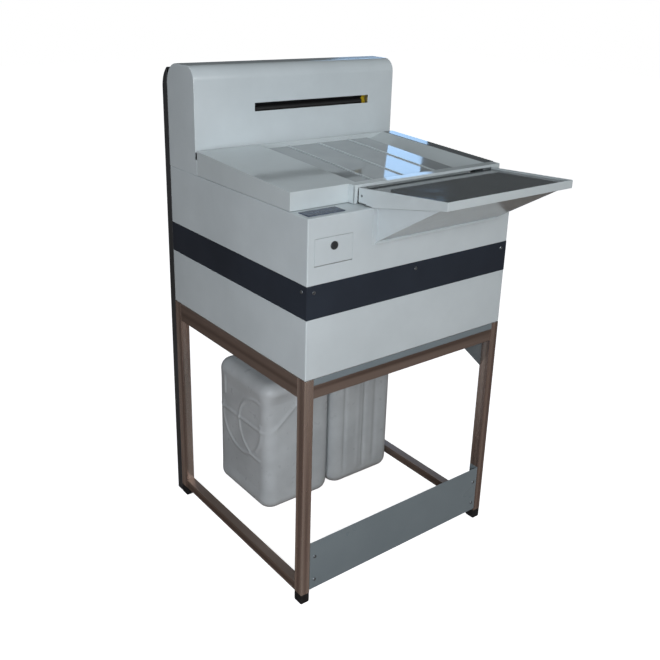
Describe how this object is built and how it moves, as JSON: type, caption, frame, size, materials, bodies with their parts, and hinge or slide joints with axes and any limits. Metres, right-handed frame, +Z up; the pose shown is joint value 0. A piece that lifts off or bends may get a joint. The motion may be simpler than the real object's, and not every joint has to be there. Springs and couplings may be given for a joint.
{
  "type": "dental x-ray film processor",
  "caption": "Roller-transport film processor: white cabinet with hinged lid and feed tray, rear hood with exit slot, tube stand and chemical cans.",
  "frame": {"origin": "on the floor under the centre of the whole object's outline, feed tray and rear panel included", "axes": "+X to the right seen from the front, +Y towards the rear panel, +Z up"},
  "size_m": [0.6336, 0.843, 1.239],
  "materials": {
    "steel_tube": "polished stainless tube with brownish reflections",
    "light_grey_paint": "grey enamel",
    "black_rubber": "moulded rubber",
    "screw_steel": "plated steel",
    "white_paint": "satin white enamel",
    "band_paint": "satin blue-grey enamel",
    "rear_paint": "dark grey enamel",
    "black_plastic": "moulded",
    "key_membrane": "printed film",
    "gloss_plate": "polished grey sheet",
    "tank_plastic": "moulded",
    "rack_steel": "stainless sheet",
    "roller_plastic": "turned",
    "gear_plastic": "moulded",
    "yellow_plastic": "moulded",
    "motor_metal": "cast and turned",
    "belt_rubber": "moulded",
    "control_box": "moulded",
    "can_plastic": "translucent blow-moulded",
    "red_plastic": "moulded",
    "blue_plastic": "moulded"
  },
  "bodies": {
    "cabinet": {"legs": "steel_tube", "rails": "steel_tube", "sill_strip": "light_grey_paint", "feet": "black_rubber", "gusset_plate": "light_grey_paint", "kick_plate": "light_grey_paint", "panel_screws": "screw_steel", "lower_shell": "white_paint", "upper_shell": "white_paint", "trim_band": "band_paint", "rear_panel": "rear_paint", "rear_fittings": "black_plastic", "flap_pin": "screw_steel", "key_panel": "key_membrane", "lid_hinges": "screw_steel", "hood": "white_paint", "feed_housing": "white_paint", "tray_hinges": "screw_steel", "developer_tank": "tank_plastic", "fixer_tank": "tank_plastic", "wash_tank": "tank_plastic", "developer_rack": "rack_steel", "fixer_rack": "rack_steel", "wash_rack": "rack_steel", "dryer_rack": "rack_steel", "motor": "motor_metal", "motor_bracket": "rack_steel", "dryer_belt": "belt_rubber", "blower_housing": "motor_metal", "circulation_pumps": "black_plastic", "control_unit": "control_box"},
    "drive_pinion": {"drive_pinion": "gear_plastic"},
    "developer_front_roller": {"developer_front_roller": "roller_plastic"},
    "developer_idler": {"developer_idler": "gear_plastic"},
    "developer_rear_roller": {"developer_rear_roller": "roller_plastic"},
    "fixer_front_roller": {"fixer_front_roller": "roller_plastic"},
    "fixer_idler": {"fixer_idler": "gear_plastic"},
    "fixer_rear_roller": {"fixer_rear_roller": "roller_plastic"},
    "wash_front_roller": {"wash_front_roller": "roller_plastic"},
    "wash_idler": {"wash_idler": "gear_plastic"},
    "wash_rear_roller": {"wash_rear_roller": "roller_plastic"},
    "dryer_shaft": {"dryer_shaft": "gear_plastic"},
    "feed_roller_lower": {"feed_roller_lower": "roller_plastic"},
    "feed_roller_upper": {"feed_roller_upper": "roller_plastic"},
    "exit_roller_lower": {"exit_roller_lower": "yellow_plastic"},
    "exit_roller_upper": {"exit_roller_upper": "yellow_plastic"},
    "developer_turn_roller": {"developer_turn_roller": "roller_plastic"},
    "fixer_turn_roller": {"fixer_turn_roller": "roller_plastic"},
    "wash_turn_roller": {"wash_turn_roller": "roller_plastic"},
    "blower_wheel": {"blower_wheel": "motor_metal"},
    "lid": {"lid": "white_paint", "bin_floor": "gloss_plate"},
    "feed_tray": {"feed_tray": "white_paint", "feed_plate": "gloss_plate"},
    "control_flap": {"control_flap": "white_paint"},
    "lock_plug": {"lock_plug": "screw_steel"},
    "developer_can": {"developer_can": "can_plastic"},
    "fixer_can": {"fixer_can": "can_plastic"},
    "developer_can_cap": {"developer_can_cap": "red_plastic"},
    "fixer_can_cap": {"fixer_can_cap": "blue_plastic"}
  },
  "joints": [
    {"name": "drive_pinion_spin", "type": "hinge", "parent": "cabinet", "child": "drive_pinion", "pos_m": [0.042, 0.0515, 0.9], "axis": [1, 0, 0], "continuous": true},
    {"name": "developer_front_roller_spin", "type": "hinge", "parent": "cabinet", "child": "developer_front_roller", "pos_m": [0.042, -0.1085, 0.932], "axis": [1, 0, 0], "continuous": true},
    {"name": "developer_idler_spin", "type": "hinge", "parent": "cabinet", "child": "developer_idler", "pos_m": [0.042, -0.0685, 0.932], "axis": [1, 0, 0], "continuous": true},
    {"name": "developer_rear_roller_spin", "type": "hinge", "parent": "cabinet", "child": "developer_rear_roller", "pos_m": [0.042, -0.0285, 0.932], "axis": [1, 0, 0], "continuous": true},
    {"name": "fixer_front_roller_spin", "type": "hinge", "parent": "cabinet", "child": "fixer_front_roller", "pos_m": [0.042, 0.0115, 0.932], "axis": [1, 0, 0], "continuous": true},
    {"name": "fixer_idler_spin", "type": "hinge", "parent": "cabinet", "child": "fixer_idler", "pos_m": [0.042, 0.0515, 0.932], "axis": [1, 0, 0], "continuous": true},
    {"name": "fixer_rear_roller_spin", "type": "hinge", "parent": "cabinet", "child": "fixer_rear_roller", "pos_m": [0.042, 0.0915, 0.932], "axis": [1, 0, 0], "continuous": true},
    {"name": "wash_front_roller_spin", "type": "hinge", "parent": "cabinet", "child": "wash_front_roller", "pos_m": [0.042, 0.1315, 0.932], "axis": [1, 0, 0], "continuous": true},
    {"name": "wash_idler_spin", "type": "hinge", "parent": "cabinet", "child": "wash_idler", "pos_m": [0.042, 0.1715, 0.932], "axis": [1, 0, 0], "continuous": true},
    {"name": "wash_rear_roller_spin", "type": "hinge", "parent": "cabinet", "child": "wash_rear_roller", "pos_m": [0.042, 0.2115, 0.932], "axis": [1, 0, 0], "continuous": true},
    {"name": "dryer_shaft_spin", "type": "hinge", "parent": "cabinet", "child": "dryer_shaft", "pos_m": [0.042, 0.2515, 0.932], "axis": [1, 0, 0], "continuous": true},
    {"name": "feed_roller_lower_spin", "type": "hinge", "parent": "cabinet", "child": "feed_roller_lower", "pos_m": [0.042, -0.1085, 0.972], "axis": [1, 0, 0], "continuous": true},
    {"name": "feed_roller_upper_spin", "type": "hinge", "parent": "cabinet", "child": "feed_roller_upper", "pos_m": [0.042, -0.1085, 0.99], "axis": [1, 0, 0], "continuous": true},
    {"name": "exit_roller_lower_spin", "type": "hinge", "parent": "cabinet", "child": "exit_roller_lower", "pos_m": [0.042, 0.2875, 1.124], "axis": [1, 0, 0], "continuous": true},
    {"name": "exit_roller_upper_spin", "type": "hinge", "parent": "cabinet", "child": "exit_roller_upper", "pos_m": [0.042, 0.2875, 1.144], "axis": [1, 0, 0], "continuous": true},
    {"name": "developer_turn_roller_spin", "type": "hinge", "parent": "cabinet", "child": "developer_turn_roller", "pos_m": [0.042, -0.0685, 0.665], "axis": [1, 0, 0], "continuous": true},
    {"name": "fixer_turn_roller_spin", "type": "hinge", "parent": "cabinet", "child": "fixer_turn_roller", "pos_m": [0.042, 0.0515, 0.665], "axis": [1, 0, 0], "continuous": true},
    {"name": "wash_turn_roller_spin", "type": "hinge", "parent": "cabinet", "child": "wash_turn_roller", "pos_m": [0.042, 0.1715, 0.665], "axis": [1, 0, 0], "continuous": true},
    {"name": "blower_wheel_spin", "type": "hinge", "parent": "cabinet", "child": "blower_wheel", "pos_m": [0.042, 0.3315, 1.112], "axis": [1, 0, 0], "continuous": true},
    {"name": "lid_hinge", "type": "hinge", "parent": "cabinet", "child": "lid", "pos_m": [0, 0.2465, 1.02998], "axis": [-1, 0, 0], "range_deg": [0, 80]},
    {"name": "feed_tray_hinge", "type": "hinge", "parent": "cabinet", "child": "feed_tray", "pos_m": [0.069, -0.1745, 0.999], "axis": [-1, 0, 0], "range_deg": [0, 60]},
    {"name": "control_flap_hinge", "type": "hinge", "parent": "cabinet", "child": "control_flap", "pos_m": [-0.245, -0.2055, 0.874], "axis": [1, 0, 0], "range_deg": [0, 90]},
    {"name": "lock_turn", "type": "hinge", "parent": "control_flap", "child": "lock_plug", "pos_m": [-0.245, -0.2055, 0.912], "axis": [0, -1, 0], "range_deg": [0, 90]},
    {"name": "developer_can_slide", "type": "slide", "parent": "cabinet", "child": "developer_can", "axis": [0, 1, 0], "range_m": [0, 0.3]},
    {"name": "fixer_can_slide", "type": "slide", "parent": "cabinet", "child": "fixer_can", "axis": [0, 1, 0], "range_m": [0, 0.3]},
    {"name": "developer_cap_turn", "type": "hinge", "parent": "developer_can", "child": "developer_can_cap", "pos_m": [-0.064, 0.2235, 0.417], "axis": [0, 0, 1], "range_deg": [0, 360]},
    {"name": "fixer_cap_turn", "type": "hinge", "parent": "fixer_can", "child": "fixer_can_cap", "pos_m": [0.17, 0.2235, 0.417], "axis": [0, 0, 1], "range_deg": [0, 360]}
  ],
  "couplings": [
    {"joint": "developer_front_roller_spin", "follows": "drive_pinion_spin", "ratio": -0.6},
    {"joint": "developer_idler_spin", "follows": "drive_pinion_spin", "ratio": 0.6},
    {"joint": "developer_rear_roller_spin", "follows": "drive_pinion_spin", "ratio": -0.6},
    {"joint": "fixer_front_roller_spin", "follows": "drive_pinion_spin", "ratio": 0.6},
    {"joint": "fixer_idler_spin", "follows": "drive_pinion_spin", "ratio": -0.6},
    {"joint": "fixer_rear_roller_spin", "follows": "drive_pinion_spin", "ratio": 0.6},
    {"joint": "wash_front_roller_spin", "follows": "drive_pinion_spin", "ratio": -0.6},
    {"joint": "wash_idler_spin", "follows": "drive_pinion_spin", "ratio": 0.6},
    {"joint": "wash_rear_roller_spin", "follows": "drive_pinion_spin", "ratio": -0.6},
    {"joint": "dryer_shaft_spin", "follows": "drive_pinion_spin", "ratio": 0.6},
    {"joint": "feed_roller_lower_spin", "follows": "drive_pinion_spin", "ratio": 0.6},
    {"joint": "feed_roller_upper_spin", "follows": "drive_pinion_spin", "ratio": -0.6},
    {"joint": "exit_roller_lower_spin", "follows": "drive_pinion_spin", "ratio": 0.6},
    {"joint": "exit_roller_upper_spin", "follows": "drive_pinion_spin", "ratio": -0.6}
  ]
}
